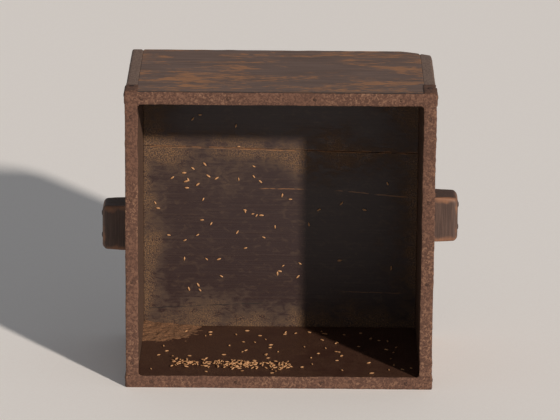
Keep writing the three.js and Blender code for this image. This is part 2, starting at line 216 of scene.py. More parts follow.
@dataclass(frozen=True)
class WeatheredOak(Oak):
    """Old oak board, planed by hand and handled for decades.

    The fibres show as fine dark lines, the dark skin has worn through to brown wood in streaks, and a painted
    shadow line darkens the wood along the iron's edge, where the rim's shade falls. Pairs of sizes are along
    and across the fibres, and the fibres are drawn as coarse as they need to be to show.
    """

    worn_start: float
    offset: float = 0.0
    dark: str = "#705a50"
    darker: str = "#5a463d"
    worn: str = "#a27048"
    iron_shadow: str = "#1c1310"
    iron_edge: float = -95 * MM
    iron_shadow_reach: float = 2.5 * MM
    iron_shadow_start: float = 1.2 * MM
    iron_shadow_wander: float = 5 * MM
    roughness: float = 0.62
    fibre_mm: tuple[float, float] = (60, 1.6)
    dirt_mm: tuple[float, float] = (90, 34)
    worn_mm: tuple[float, float] = (95, 30)
    streak_mm: tuple[float, float] = (14, 2.6)

    def layers(self, graph: Graph) -> Layers:
        """Lay hand dirt, worn streaks and a painted shadow line along the iron's edge over the fibres.

        Args:
            graph: The nodes to add to.

        Returns:
            The layers.
        """
        fibres = graph.pattern(self.sizes(*self.fibre_mm), 6, self.offset, 0.3)
        dirt = graph.pattern(self.sizes(*self.dirt_mm), 4, self.offset + 3)
        zones = graph.pattern(self.sizes(*self.worn_mm), 4, self.offset + 7, 0.8)
        streaks = graph.pattern(self.sizes(*self.streak_mm), 7, self.offset + 9, 0.8)
        mask = graph.add("MapRange", {0: fibres, 1: 0.36, 2: 0.62}, **SMOOTH)
        colour = graph.add("Mix", {0: mask, 6: linear(self.darker), 7: linear(self.dark)}, 2, **COLOURS)
        mask = graph.add("MapRange", {0: dirt, 1: 0.45, 2: 0.75, 4: 0.45}, **SMOOTH)
        colour = graph.add("Mix", {0: mask, 6: colour, 7: linear(self.darker)}, 2, **COLOURS)
        ragged = graph.add("Math", {0: streaks, 1: 0.9, 2: zones}, operation="MULTIPLY_ADD")
        limits = {1: self.worn_start + 0.44, 2: self.worn_start + 0.6}
        worn = graph.add("MapRange", {0: ragged, **limits}, **SMOOTH)
        mask = graph.add("Math", {0: worn, 1: 0.8}, operation="MULTIPLY")
        colour = graph.add("Mix", {0: mask, 6: colour, 7: linear(self.worn)}, 2, **COLOURS)
        # Painted shadow line: the wood goes dark in a wavy band just behind the iron's edge, standing in for
        # the shade where the rim meets the wood
        depth = {0: dirt, 1: -self.iron_shadow_wander, 2: graph.coordinate(Axis.Y)}
        depth = graph.add("Math", depth, operation="MULTIPLY_ADD")
        limits = {1: self.iron_edge + self.iron_shadow_reach, 2: self.iron_edge - self.iron_shadow_start}
        mask = graph.add("MapRange", {0: depth, **limits, 4: 0.75}, **SMOOTH)
        colour = graph.add("Mix", {0: mask, 6: colour, 7: linear(self.iron_shadow)}, 2, **COLOURS)
        rough = graph.add("MapRange", {0: dirt, 3: self.roughness - 0.07, 4: self.roughness + 0.14})
        relief = graph.add("Math", {0: worn, 1: -0.35, 2: fibres}, operation="MULTIPLY_ADD")
        return Layers(colour, rough, relief, 0.35)


@dataclass(frozen=True)
class Seam:
    """A crack or a joint that crosses the base, given by X and Z of its ends."""

    left: tuple[float, float]
    right: tuple[float, float]
    half_mm: float
    colour: str
    share: float = 0.8
    wave_mm: float = 3.0

    def draw(self, graph: Graph, colour: Socket) -> Socket:
        """Draw the seam, wavy and broken, over a colour.

        Args:
            graph: The nodes to add to.
            colour: The colour under it.

        Returns:
            The colour with the seam.
        """
        across, wave = graph.coordinate(Axis.X), self.wave_mm * MM
        rise = (self.right[1] - self.left[1]) / (self.right[0] - self.left[0])
        foot = self.left[1] - rise * self.left[0] - wave / 2
        line = graph.add("Math", {0: across, 1: rise, 2: foot}, operation="MULTIPLY_ADD")
        waves = graph.pattern((14, 14, 14), 3, 8.0)
        line = graph.add("Math", {0: waves, 1: wave, 2: line}, operation="MULTIPLY_ADD")
        away = graph.add("Math", {0: line, 1: graph.coordinate(Axis.Z)}, operation="SUBTRACT")
        away = graph.add("Math", {0: away}, operation="ABSOLUTE")
        # Each mask scales the next one: the two ends, the breaks and the line itself
        limits = {1: self.left[0] - 4 * MM, 2: self.left[0] + 6 * MM}
        mask = graph.add("MapRange", {0: across, **limits, 4: self.share}, **SMOOTH)
        limits = {1: self.right[0] + 4 * MM, 2: self.right[0] - 6 * MM}
        mask = graph.add("MapRange", {0: across, **limits, 4: mask}, **SMOOTH)
        breaks = graph.pattern((9, 9, 9), 4, 12.0)
        mask = graph.add("MapRange", {0: breaks, 1: 0.32, 2: 0.5, 4: mask}, **SMOOTH)
        limits = {1: self.half_mm * MM, 2: self.half_mm * MM * 0.2}
        mask = graph.add("MapRange", {0: away, **limits, 4: mask}, **SMOOTH)
        return graph.add("Mix", {0: mask, 6: colour, 7: linear(self.colour)}, 2, **COLOURS)


@dataclass(frozen=True)
class GrainPolishedOak(Oak):
    """Inside face of a board, rubbed by grain.

    It is a dark reddish brown with smears in its polish. Towards the edges of the hollow, and along the
    dusty height if there is one, a greyish film and crumbs of bran cover it.
    """

    centre: str = "#281412"
    edge: str = "#4a3729"
    bran: str = "#7d5c3c"
    dust: float = 1.0
    offset: float = 0.0
    seams: tuple[Seam, ...] = ()
    dusty_height: float | None = None
    dust_reach_mm: float = 48.0
    dust_wander_mm: float = 110.0
    fibre_mm: tuple[float, float] = (70, 1.8)
    smear_mm: tuple[float, float] = (11, 6)
    blotch_mm: float = 46.0
    crumb_mm: float = 1.6

    def edge_distance(self, graph: Graph) -> Socket:
        """Distance to the nearest edge of the hollow or to the dusty height, seen from the mouth.

        Args:
            graph: The nodes to add to.

        Returns:
            The distance in metres.
        """
        low, high = solid_box("lower_wall")[1], solid_box("upper_wall")[0]
        height = graph.coordinate(Axis.Z)
        side = graph.add("Math", {0: graph.coordinate(Axis.X)}, operation="ABSOLUTE")
        side = graph.add("Math", {0: low.x, 1: side}, operation="SUBTRACT")
        below = graph.add("Math", {0: height, 1: low.z}, operation="SUBTRACT")
        above = graph.add("Math", {0: high.z, 1: height}, operation="SUBTRACT")
        nearest = graph.add("Math", {0: below, 1: above}, operation="MINIMUM")
        nearest = graph.add("Math", {0: side, 1: nearest}, operation="MINIMUM")
        if self.dusty_height is not None:
            band = graph.add("Math", {0: height, 1: self.dusty_height}, operation="SUBTRACT")
            band = graph.add("Math", {0: band}, operation="ABSOLUTE")
            band = graph.add("Math", {0: band, 1: 2 * MM}, operation="ADD")
            nearest = graph.add("Math", {0: nearest, 1: band}, operation="MINIMUM")
        return nearest

    def layers(self, graph: Graph) -> Layers:
        """Lay smears, film, crumbs and seams over the polished wood.

        Args:
            graph: The nodes to add to.

        Returns:
            The layers.
        """
        fibres = graph.pattern(self.sizes(*self.fibre_mm), 6, self.offset, 0.3)
        blotches = graph.pattern((self.blotch_mm,) * 3, 5, self.offset + 2)
        crumbs = graph.pattern((self.crumb_mm,) * 3, 3, self.offset + 5)
        smears = graph.pattern(self.sizes(*self.smear_mm), 8, self.offset + 4, 1.0)
        wander, reach = self.dust_wander_mm * MM, self.dust_reach_mm * MM
        edge = {0: blotches, 1: wander, 2: self.edge_distance(graph)}
        distance = graph.add("Math", edge, operation="MULTIPLY_ADD")
        limits = {1: reach + wander / 2, 2: wander / 2}
        near = graph.add("MapRange", {0: distance, **limits, 4: self.dust}, **SMOOTH)
        film = graph.add("MapRange", {0: smears, 1: 0.3, 2: 0.62, 4: near}, **SMOOTH)
        mask = graph.add("MapRange", {0: fibres, 1: 0.42, 2: 0.75, 4: 0.2}, **SMOOTH)
        colour = graph.add("Mix", {0: mask, 6: linear(self.centre), 7: linear(self.edge)}, 2, **COLOURS)
        mask = graph.add("MapRange", {0: smears, 1: 0.5, 2: 0.75, 4: 0.5}, **SMOOTH)
        colour = graph.add("Mix", {0: mask, 6: colour, 7: linear(self.edge)}, 2, **COLOURS)
        colour = graph.add("Mix", {0: film, 6: colour, 7: linear(self.edge)}, 2, **COLOURS)
        limits = {1: reach * 0.45 + wander / 2, 2: wander / 2 - 10 * MM}
        closer = graph.add("MapRange", {0: distance, **limits}, **SMOOTH)
        heaped = graph.add("MapRange", {0: crumbs, 1: 0.42, 2: 0.62, 4: closer}, **SMOOTH)
        mask = graph.add("Math", {0: heaped, 1: 0.75 * self.dust}, operation="MULTIPLY")
        colour = graph.add("Mix", {0: mask, 6: colour, 7: linear(self.bran)}, 2, **COLOURS)
        stray = graph.add("MapRange", {0: crumbs, 1: 0.66, 2: 0.74, 4: 0.35}, **SMOOTH)
        colour = graph.add("Mix", {0: stray, 6: colour, 7: linear(self.bran)}, 2, **COLOURS)
        for seam in self.seams:
            colour = seam.draw(graph, colour)
        rough = graph.add("Math", {0: film, 1: 0.35, 2: 0.5}, operation="MULTIPLY_ADD")
        relief = graph.add("Math", {0: heaped, 1: 0.8, 2: fibres}, operation="MULTIPLY_ADD")
        return Layers(colour, rough, relief, 0.16)


@dataclass(frozen=True)
class SawnOak(Finish):
    """Sawn end of an oak board: a flat greyish brown with short pores."""

    light: str = "#7d675a"
    dark: str = "#644f44"
    pore_mm: Point = (1.2, 2.6, 2.6)

    def layers(self, graph: Graph) -> Layers:
        """Lay the pores in the sawn face.

        Args:
            graph: The nodes to add to.

        Returns:
            The layers.
        """
        pores = graph.pattern(self.pore_mm, 5)
        mask = graph.add("MapRange", {0: pores, 1: 0.35, 2: 0.65}, **SMOOTH)
        colour = graph.add("Mix", {0: mask, 6: linear(self.dark), 7: linear(self.light)}, 2, **COLOURS)
        return Layers(colour, 0.72, pores, 0.25)


@dataclass(frozen=True)
class RustedIron(Finish):
    """Wrought iron, forged and then rusted evenly: matt brown, mottled and pitted like orange peel."""

    rust: str = "#664636"
    pale: str = "#8a6850"
    deep: str = "#4e3428"
    metallic: float = 0.15
    scab_mm: float = 2.6
    pit_mm: float = 1.9
    zone_mm: float = 60.0

    def layers(self, graph: Graph) -> Layers:
        """Lay scabs, pale tops and dark pits over one another.

        Args:
            graph: The nodes to add to.

        Returns:
            The layers.
        """
        scabs = graph.pattern((self.scab_mm,) * 3, 6, 1.0, 0.8)
        pits = graph.pattern((self.pit_mm,) * 3, 4, 4.0)
        zones = graph.pattern((self.zone_mm,) * 3, 3, 9.0)
        mask = graph.add("MapRange", {0: scabs, 1: 0.38, 2: 0.6}, **SMOOTH)
        colour = graph.add("Mix", {0: mask, 6: linear(self.deep), 7: linear(self.rust)}, 2, **COLOURS)
        mask = graph.add("MapRange", {0: zones, 1: 0.3, 2: 0.7, 4: 0.8}, **SMOOTH)
        mask = graph.add("MapRange", {0: scabs, 1: 0.52, 2: 0.68, 4: mask}, **SMOOTH)
        colour = graph.add("Mix", {0: mask, 6: colour, 7: linear(self.pale)}, 2, **COLOURS)
        mask = graph.add("MapRange", {0: pits, 1: 0.44, 2: 0.3, 4: 0.6}, **SMOOTH)
        colour = graph.add("Mix", {0: mask, 6: colour, 7: linear(self.deep)}, 2, **COLOURS)
        rough = graph.add("MapRange", {0: scabs, 3: 0.95, 4: 0.72})
        relief = graph.add("Math", {0: pits, 1: 0.6, 2: scabs}, operation="MULTIPLY_ADD")
        return Layers(colour, rough, relief, 0.45, self.metallic)


@dataclass(frozen=True)
class HandledOak(Finish):
    """Sawn oak block polished by hands: dark with dirt in the middle, worn to brown wood at its edges."""

    middle: Point
    half: Point
    dark: str = "#523c32"
    darker: str = "#3f2c24"
    worn: str = "#8c6044"
    fibre_mm: Point = (1.5, 1.5, 40)
    blotch_mm: Point = (12, 12, 16)

    def layers(self, graph: Graph) -> Layers:
        """Lay worn edges over the fibres.

        Args:
            graph: The nodes to add to.

        Returns:
            The layers.
        """
        sizes = []
        for axis in Axis:
            away = {0: graph.coordinate(axis), 1: self.middle[axis.value]}
            away = graph.add("Math", away, operation="SUBTRACT")
            away = graph.add("Math", {0: away, 1: self.half[axis.value]}, operation="DIVIDE")
            sizes.append(graph.add("Math", {0: away}, operation="ABSOLUTE"))
        # The second largest of the three says how near an edge lies
        edge = 0.0
        for first, second in ((0, 1), (1, 2), (0, 2)):
            pair = graph.add("Math", {0: sizes[first], 1: sizes[second]}, operation="MINIMUM")
            edge = graph.add("Math", {0: edge, 1: pair}, operation="MAXIMUM")
        fibres = graph.pattern(self.fibre_mm, 6, 2.0, 0.3)
        blotches = graph.pattern(self.blotch_mm, 5, 6.0)
        ragged = graph.add("Math", {0: blotches, 1: 0.75, 2: edge}, operation="MULTIPLY_ADD")
        mask = graph.add("MapRange", {0: fibres, 1: 0.36, 2: 0.64}, **SMOOTH)
        colour = graph.add("Mix", {0: mask, 6: linear(self.darker), 7: linear(self.dark)}, 2, **COLOURS)
        mask = graph.add("MapRange", {0: ragged, 1: 1.095, 2: 1.355, 4: 0.75}, **SMOOTH)
        colour = graph.add("Mix", {0: mask, 6: colour, 7: linear(self.worn)}, 2, **COLOURS)
        rough = graph.add("Math", {0: blotches, 1: 0.25, 2: 0.5}, operation="MULTIPLY_ADD")
        return Layers(colour, rough, fibres, 0.25)


@dataclass(frozen=True)
class LooseMatter(Finish):
    """Dry husks, bran dust or plain ground: one colour broken by a fine pattern, and quite matt."""

    light: str
    dark: str
    size_mm: float
    relief_mm: float
    roughness: float

    def layers(self, graph: Graph) -> Layers:
        """Break the colour by a fine pattern.

        Args:
            graph: The nodes to add to.

        Returns:
            The layers.
        """
        grains = graph.pattern((self.size_mm,) * 3, 4, 1.0)
        mask = graph.add("MapRange", {0: grains, 1: 0.35, 2: 0.65}, **SMOOTH)
        colour = graph.add("Mix", {0: mask, 6: linear(self.dark), 7: linear(self.light)}, 2, **COLOURS)
        return Layers(colour, self.roughness, grains, self.relief_mm)


# Meshes

def add_mesh(name: str, points: Sequence, faces: Sequence[Sequence[int]],
             materials: Sequence[bpy.types.Material], slots: Sequence[int] | None = None) -> bpy.types.Object:
    """Make a smooth object from points and faces and let it ride on the measure.

    Args:
        name: The piece's name.
        points: Rows of X, Y and Z.
        faces: Point numbers of each face.
        materials: The materials of its slots.
        slots: The slot of each face, or None for the first.

    Returns:
        The new object.
    """
    mesh = bpy.data.meshes.new(name)
    rows = [tuple(float(value) for value in point) for point in points]
    mesh.from_pydata(rows, [], [tuple(int(number) for number in face) for face in faces])
    for material in materials:
        mesh.materials.append(material)
    if slots is not None:
        mesh.polygons.foreach_set("material_index", np.asarray(slots, np.int32))
    mesh.shade_smooth()
    mesh.validate()
    piece = bpy.data.objects.new(name, mesh)
    bpy.context.scene.collection.objects.link(piece)
    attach(piece, BODY)
    return piece


def ring_faces(rings: int, around: int, first: int = 0) -> list[list[int]]:
    """Faces between rings of points that follow one another.

    Args:
        rings: How many rings there are.
        around: Points in a ring.
        first: Number of the first ring's first point.

    Returns:
        The point numbers of each face.
    """
    faces = []
    for ring in range(rings - 1):
        start = first + ring * around
        for i in range(around):
            a, b = start + i, start + (i + 1) % around
            faces.append([a, b, b + around, a + around])
    return faces


def grid_lines(low: float, high: float, cell: float, fine: Sequence[float]) -> np.ndarray:
    """Places of the grid lines along one side of a board: even, with more beside both ends.

    Args:
        low: Start of the side.
        high: End of the side.
        cell: Usual distance of two lines.
        fine: Distances of the extra lines from each end.

    Returns:
        The places, in order.
    """
    margin = max(fine)
    count = max(1, round((high - low - 2 * margin) / cell))
    middle = np.linspace(low + margin, high - margin, count + 1)
    ends = [low, high, *(low + step for step in fine), *(high - step for step in fine)]
    return np.unique(np.round(np.concatenate([middle, ends]), 6))


@dataclass
class SoftBox:
    """A box of six grids, joined along the edges, which can then be worn and bent."""

    low: Point
    high: Point
    cell: float
    fine: tuple[float, ...]
    points: np.ndarray = field(init=False)
    faces: list[list[int]] = field(init=False, default_factory=list)
    sides: list[int] = field(init=False, default_factory=list)

    def __post_init__(self) -> None:
        """Lay the grids. A face's side is twice its axis, plus one on the high side."""
        lines = [grid_lines(self.low[axis], self.high[axis], self.cell, self.fine) for axis in range(3)]
        numbers: dict[tuple[int, ...], int] = {}
        for axis in range(3):
            first, second = (axis + 1) % 3, (axis + 2) % 3
            for top in (0, 1):
                fixed = len(lines[axis]) - 1 if top else 0
                for i in range(len(lines[first]) - 1):
                    for j in range(len(lines[second]) - 1):
                        corners = []
                        for step_i, step_j in ((0, 0), (1, 0), (1, 1), (0, 1)):
                            key = [0, 0, 0]
                            key[axis], key[first], key[second] = fixed, i + step_i, j + step_j
                            corners.append(numbers.setdefault(tuple(key), len(numbers)))
                        self.faces.append(corners if top else corners[::-1])
                        self.sides.append(2 * axis + top)
        self.points = np.array([[lines[axis][key[axis]] for axis in range(3)] for key in numbers])

    def wear(self, radius: Callable[[np.ndarray], float]) -> None:
        """Round the edges with a radius that changes from place to place.

        Args:
            radius: Gives the radius at a point.
        """
        low, high = np.array(self.low), np.array(self.high)
        for i, point in enumerate(self.points.copy()):
            size = radius(point)
            core = np.clip(point, low + size, high - size)
            length = np.linalg.norm(point - core)
            if length > size > 0:
                self.points[i] = core + (point - core) * size / length

    def swell(self, depth: float, size: float, offset: float) -> None:
        """Push the points about by a smooth noise.

        Args:
            depth: Largest push.
            size: Size of a patch of the noise.
            offset: Moves the noise, so that two pieces differ.
        """
        shift = Vector((offset, offset * 1.3, offset * 0.7))
        for point in self.points:
            point += np.array(noise.noise_vector(Vector(point) / size + shift)) * depth


# Boards

@dataclass
class Board:
    """One oak board, with worn outer edges, that stands for a solid of the same place and size.

    A side is twice its axis, plus one on the high side. Outer sides are the ones whose shared edges are
    worn round.
    """

    node: str
    outside: bpy.types.Material
    inside: bpy.types.Material
    ends: bpy.types.Material
    inner_side: int
    end_sides: tuple[int, ...]
    outer_sides: tuple[int, ...]
    offset: float
    slot: str = "weathered_board"
    cell: float = 3.2 * MM
    fine: tuple[float, ...] = (0.5 * MM, 1.2 * MM, 2.2 * MM, 3.6 * MM)
    edge_reach: float = 5 * MM
    outer_round: float = 2.4 * MM
    outer_wander: float = 1.3 * MM
    inner_round: float = 0.45 * MM
    inner_wander: float = 0.2 * MM
    wander_size: float = 17 * MM
    swell_depth: float = 0.16 * MM
    swell_size: float = 24 * MM
    corner_wide: float = 36 * MM
    corner_deep: float = 42 * MM
    corner_tall: float = 20 * MM
    corner_drop: float = 4.6 * MM

    def edge_radius(self, point: np.ndarray) -> float:
        """Radius of the worn edge near a point: large outside and small where boards meet.

        Args:
            point: A point on the board.

        Returns:
            The radius.
        """
        box = solid_box(self.node)
        near = 0
        for side in self.outer_sides:
            axis, top = divmod(side, 2)
            near += abs(point[axis] - box[top][axis]) < self.edge_reach
        wander = noise.noise(Vector(point) / self.wander_size + Vector((self.offset, 0, 0)))
        if near >= 2:
            return self.outer_round + self.outer_wander * wander
        return self.inner_round + self.inner_wander * wander

    def shape(self, points: np.ndarray) -> None:
        """Wear down the corner above the right end of the base, where the board reaches it.

        Args:
            points: The board's points.
        """
        corner = solid_box("right_wall")[1]
        start = solid_box("upper_wall")[1].z - self.corner_tall
        for point in points:
            away = ((corner.x - point[0]) / self.corner_wide, (corner.y - point[1]) / self.corner_deep)
            near = 1 - math.hypot(*away)
            if near > 0 and point[2] > start:
                share = min(1.0, (point[2] - start) / self.corner_tall)
                point[2] -= self.corner_drop * near ** 1.3 * share

    def build(self) -> bpy.types.Object:
        """Build the board and hide the solid it stands for.

        Returns:
            The board.
        """
        low, high = solid_box(self.node)
        box = SoftBox(tuple(low), tuple(high), self.cell, self.fine)
        box.wear(self.edge_radius)
        box.swell(self.swell_depth, self.swell_size, self.offset)
        self.shape(box.points)
        slots = [1 if side == self.inner_side else 2 if side in self.end_sides else 0 for side in box.sides]
        materials = [self.outside, self.inside, self.ends]
        piece = add_mesh(f"{self.node}_board", box.points, box.faces, materials, slots)
        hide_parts(self.node)
        return piece


@dataclass
class BaseBoard(Board):
    """A board of the base, cut aslant along the joint with its neighbour."""

    slot: str = "inner_board"
    joint_above: bool = True
    joint_left: float = 230.5 * MM
    joint_right: float = 224.0 * MM
    gap: float = 0.5 * MM

    def shape(self, points: np.ndarray) -> None:
        """Bring the board's edge to the slanting joint.

        Args:
            points: The board's points.
        """
        low, high = solid_box(self.node)
        fixed, loose = (low.z, high.z) if self.joint_above else (high.z, low.z)
        half_gap = self.gap / 2 if self.joint_above else -self.gap / 2
        for point in points:
            share = (point[0] - low.x) / (high.x - low.x)
            edge = self.joint_left + (self.joint_right - self.joint_left) * share - half_gap
            point[2] = fixed + (point[2] - fixed) * (edge - fixed) / (loose - fixed)


@dataclass
class Box:
    """The four side boards and the two boards of the base."""

    dust: str = "#94663f"
    crack: str = "#150c09"
    dusty_height: float = 222 * MM

    def seams(self) -> tuple[Seam, ...]:
        """The joint of the base and the cracks in it."""
        return (
            Seam((-0.150, 0.2303), (0.157, 0.2240), 1.5, self.dust, 0.75),
            Seam((-0.152, 0.0352), (-0.017, 0.0418), 0.9, self.crack),
            Seam((-0.023, 0.1805), (0.026, 0.1805), 0.8, self.dust, 0.6),
            Seam((0.064, 0.1786), (0.149, 0.1714), 0.9, self.dust, 0.65),
            Seam((0.072, 0.0565), (0.142, 0.0555), 0.7, self.dust, 0.4),
        )

    def build(self) -> list[bpy.types.Object]:
        """Build the boards.

        Returns:
            The boards.
        """
        ends = SawnOak("sawn_end_grain_oak").material()
        lying = WeatheredOak("weathered_oak_upper", Axis.X, 0.52).material()
        under = WeatheredOak("weathered_oak_lower", Axis.X, 0.6, 11.0).material()
        upright = WeatheredOak("weathered_oak_sides", Axis.Z, 0.56, 23.0).material()
        back = WeatheredOak("weathered_oak_base", Axis.X, 0.62, 37.0).material()
        inner = {}
        for place, grain, look in (
            ("base", Axis.X, {"seams": self.seams(), "dusty_height": self.dusty_height}),
            ("lower", Axis.X, {"centre": "#3c2218", "edge": "#4e3224", "dust": 0.25, "offset": 5.0}),
            ("upper", Axis.X, {"dust": 0.3, "offset": 9.0}),
            ("sides", Axis.Z, {"centre": "#4d372c", "edge": "#5a4334", "dust": 0.3, "offset": 14.0}),
        ):
            inner[place] = GrainPolishedOak(f"grain_polished_oak_{place}", grain, **look).material()
        boards = [
            Board("left_wall", upright, inner["sides"], ends, 1, (4, 5), (0, 3, 4, 5), 1.0),
            Board("right_wall", upright, inner["sides"], ends, 0, (4, 5), (1, 3, 4, 5), 2.0),
            Board("upper_wall", lying, inner["upper"], ends, 4, (0, 1), (3, 5), 3.0),
            Board("lower_wall", under, inner["lower"], ends, 5, (0, 1), (3, 4), 4.0),
            BaseBoard("base_wide", back, inner["base"], ends, 2, (0, 1), (), 5.0),
            BaseBoard("base_narrow", back, inner["base"], ends, 2, (0, 1), (), 6.0, joint_above=False),
        ]
        return [board.build() for board in boards]


# Iron rim

@dataclass
class Strap:
    """An iron strap on the mouth, folded back over the wood at both ends, with nail dents in its face.

    Where an upright strap passes behind the level ones, in the corners, it lies deeper by their lap.
    """

    node: str
    material: bpy.types.Material
    along: Axis
    offset: float
    nails: int = 4
    thick: float = 2.0 * MM
    lap: float = 1.0 * MM
    step: float = 1.3 * MM
    bend: float = 2.4 * MM
    bend_steps: int = 6
    corner: float = 14.3 * MM
    lower_tab: float = 30 * MM
    upper_left_tab: float = 28 * MM
    edge_wear: float = 0.5 * MM
    pit_depth: float = 0.22 * MM
    pit_size: float = 4.2 * MM
    dent_depth: float = 0.55 * MM
    dent_radius: float = 3.4 * MM
    fillet_radius: float = 3.5 * MM
    inner_corner: float = 157 * MM
    across_places: tuple[float, ...] = (-1, -0.93, -0.8, -0.6, -0.4, -0.2, 0, 0.2, 0.4, 0.6, 0.8, 0.93, 1)

    def tabs(self) -> tuple[float, float]:
        """Lengths of the folded ends, from the mouth: the low end's and the high end's."""
        low, high = solid_box(self.node)
        depth = high.y - low.y
        first = self.lower_tab if self.along is Axis.Z else depth
        return first, self.upper_left_tab if self.node == "rim_left" else depth

    def route(self) -> list[tuple[float, float]]:
        """Outer line of the strap, seen across it: place along the strap and depth from the mouth.

        Returns:
            The points, from one folded end to the other.
        """
        low, high = solid_box(self.node)
        start, end = low[self.along.value], high[self.along.value]
        sunk = self.lap if self.along is Axis.Z else 0.0
        bent = sunk + self.bend
        first_tab, last_tab = self.tabs()
        turns = [i / self.bend_steps * math.pi / 2 for i in range(self.bend_steps + 1)]
        arc = [(self.bend * (1 - math.cos(turn)), sunk + self.bend * (1 - math.sin(turn))) for turn in turns]
        first, last = start + self.corner, end - self.corner
        count = int((last - first) / self.step)
        route = [(start, first_tab - i * self.step) for i in range(int((first_tab - bent) / self.step))]
        route += [(start + away, depth) for away, depth in arc]
        if sunk:
            route += [(first - 0.1 * MM, sunk)]
        route += [(first + (last - first) * i / count, 0.0) for i in range(count + 1)]
        if sunk:
            route += [(last + 0.1 * MM, sunk)]
        route += [(end - away, depth) for away, depth in reversed(arc)]
        count = int((last_tab - bent) / self.step)
        route += [(end, bent + (i + 1) / count * (last_tab - bent)) for i in range(count)]
        return route

    def fillet(self, place: float, share: float) -> float:
        """Extra width that rounds the inner corners of the rim; only the level straps carry it.

        Args:
            place: Place along the strap.
            share: Place across the strap, from minus one to one.

        Returns:
            The shift across the strap.
        """
        inner = -1 if self.node == "rim_upper" else 1
        if self.along is Axis.Z or share * inner < 0.75:
            return 0.0
        radius, away = self.fillet_radius, self.inner_corner - abs(place)
        if away < 0:
            return inner * max(0.0, radius + 2.4 * away)
        return inner * (radius - math.sqrt(radius ** 2 - max(0.0, radius - away) ** 2))

    def dent(self, spot: Vector, dents: Sequence[Vector]) -> float:
        """Depth of the dent that a driven nail has left at a point.

        Args:
            spot: The point.
            dents: Middles of the nails.

        Returns:
            The depth, negative inwards.
        """
        deep = 0.0
        for nail in dents:
            distance = math.hypot(spot.x - nail.x, spot.z - nail.z)
            deep = min(deep, -self.dent_depth * max(0.0, 1 - (distance / self.dent_radius) ** 2))
        return deep

    def sway(self, place: float, depth: float) -> float:
        """How far the wavy edges stand out at a place along the strap and a depth."""
        long = noise.noise(Vector((place * 42 + self.offset, depth * 60, 3.3)))
        short = noise.noise(Vector((place * 170 + self.offset, depth * 170, 7.1)))
        return (0.75 * long + 0.45 * short) * MM

    def build(self) -> bpy.types.Object:
        """Build the strap and hide the solid it stands for.

        Returns:
            The strap.
        """
        low, high = solid_box(self.node)
        along, across = self.along.value, (Axis.Z if self.along is Axis.X else Axis.X).value
        middle, half = (low[across] + high[across]) / 2, (high[across] - low[across]) / 2
        numbers = range(1, self.nails + 1)
        dents = [sum(solid_box(f"{self.node}_nail_{number}"), Vector()) / 2 for number in numbers]
        ring = [(share, True) for share in self.across_places]
        ring += [(share, False) for share in reversed(self.across_places)]
        route = self.route()
        points = []
        for i, (place, depth) in enumerate(route):
            before, after = route[max(0, i - 1)], route[min(len(route) - 1, i + 1)]
            run = Vector((after[0] - before[0], after[1] - before[1])).normalized()
            out = Vector((run.y, -run.x))
            sway = self.sway(place, depth)
            for share, front in ring:
                edge = abs(share)
                spot = Vector((0, 0, 0))
                worn = self.edge_wear * max(0.0, edge - 0.8) / 0.2
                sink = worn if front else self.thick
                spot[along] = place - out.x * sink
                spot.y = low.y + depth - out.y * sink
                spot[across] = middle + share * half + self.fillet(place, share)
                spot[across] += sway * edge * (1 if share > 0 else 0.8)
                if front:
                    rough = noise.fractal(spot / self.pit_size, 0.8, 2.0, 3) * self.pit_depth
                    rough += self.dent(spot, dents)
                    spot[along] += out.x * rough
                    spot.y += out.y * rough
                points.append(spot)
        faces = ring_faces(len(route), len(ring))
        faces += [list(range(len(ring)))[::-1], list(range(len(points) - len(ring), len(points)))]
        if self.turned(points, faces):
            faces = [face[::-1] for face in faces]
        piece = add_mesh(f"{self.node}_strap", points, faces, [self.material])
        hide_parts(self.node)
        return piece

    def turned(self, points: Sequence[Vector], faces: Sequence[Sequence[int]]) -> bool:
        """Whether the faces look inwards: true when the enclosed volume comes out negative.

        Args:
            points: The strap's points.
            faces: Its faces, with the two end faces last.

        Returns:
            True if every face has to be turned.
        """
        volume = 0.0
        for face in faces[:-2]:
            a, b, c, d = (points[number] for number in face)
            volume += a.dot(b.cross(c)) + a.dot(c.cross(d))
        return volume < 0


@dataclass
class Rim:
    """The four iron straps."""

    straps: tuple[tuple[str, Axis], ...] = (
        ("rim_upper", Axis.X), ("rim_lower", Axis.X), ("rim_left", Axis.Z), ("rim_right", Axis.Z))

    def build(self) -> list[bpy.types.Object]:
        """Build the straps.

        Returns:
            The straps.
        """
        iron = RustedIron("rusted_wrought_iron").material()
        return [Strap(node, iron, along, 3.7 * i).build() for i, (node, along) in enumerate(self.straps)]


# Handles

@dataclass
class Handle:
    """A wooden block that serves as a handle, with round worn edges."""

    node: str
    side: int
    offset: float
    cell: float = 2.4 * MM
    fine: tuple[float, ...] = (0.8 * MM, 2 * MM, 3.5 * MM, 5.5 * MM, 8 * MM)
    wall_round: float = 0.8 * MM
    end_round: float = 5.2 * MM
    round_from: float = -0.6
    wander: float = 0.8 * MM
    wander_size: float = 12 * MM
    swell_depth: float = 0.3 * MM
    swell_size: float = 14 * MM

    def edge_radius(self, point: np.ndarray) -> float:
        """Radius of the worn edge: large at the outer end and small against the wall.

        Args:
            point: A point on the handle.

        Returns:
            The radius.
        """
        low, high = solid_box(self.node)
        outwards = (point[0] - (low.x + high.x) / 2) * self.side / ((high.x - low.x) / 2)
        share = max(0.0, outwards - self.round_from) / (1 - self.round_from)
        wander = noise.noise(Vector(point) / self.wander_size + Vector((self.offset, 0, 0)))
        return self.wall_round + share * self.end_round + wander * self.wander

    def build(self) -> bpy.types.Object:
        """Build the handle and hide the solid it stands for.

        Returns:
            The handle.
        """
        low, high = solid_box(self.node)
        finish = HandledOak(f"handled_oak_{self.node}", tuple((low + high) / 2), tuple((high - low) / 2))
        box = SoftBox(tuple(low), tuple(high), self.cell, self.fine)
        box.wear(self.edge_radius)
        box.swell(self.swell_depth, self.swell_size, self.offset)
        piece = add_mesh(f"{self.node}_block", box.points, box.faces, [finish.material()])
        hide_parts(self.node)
        return piece


# Nails

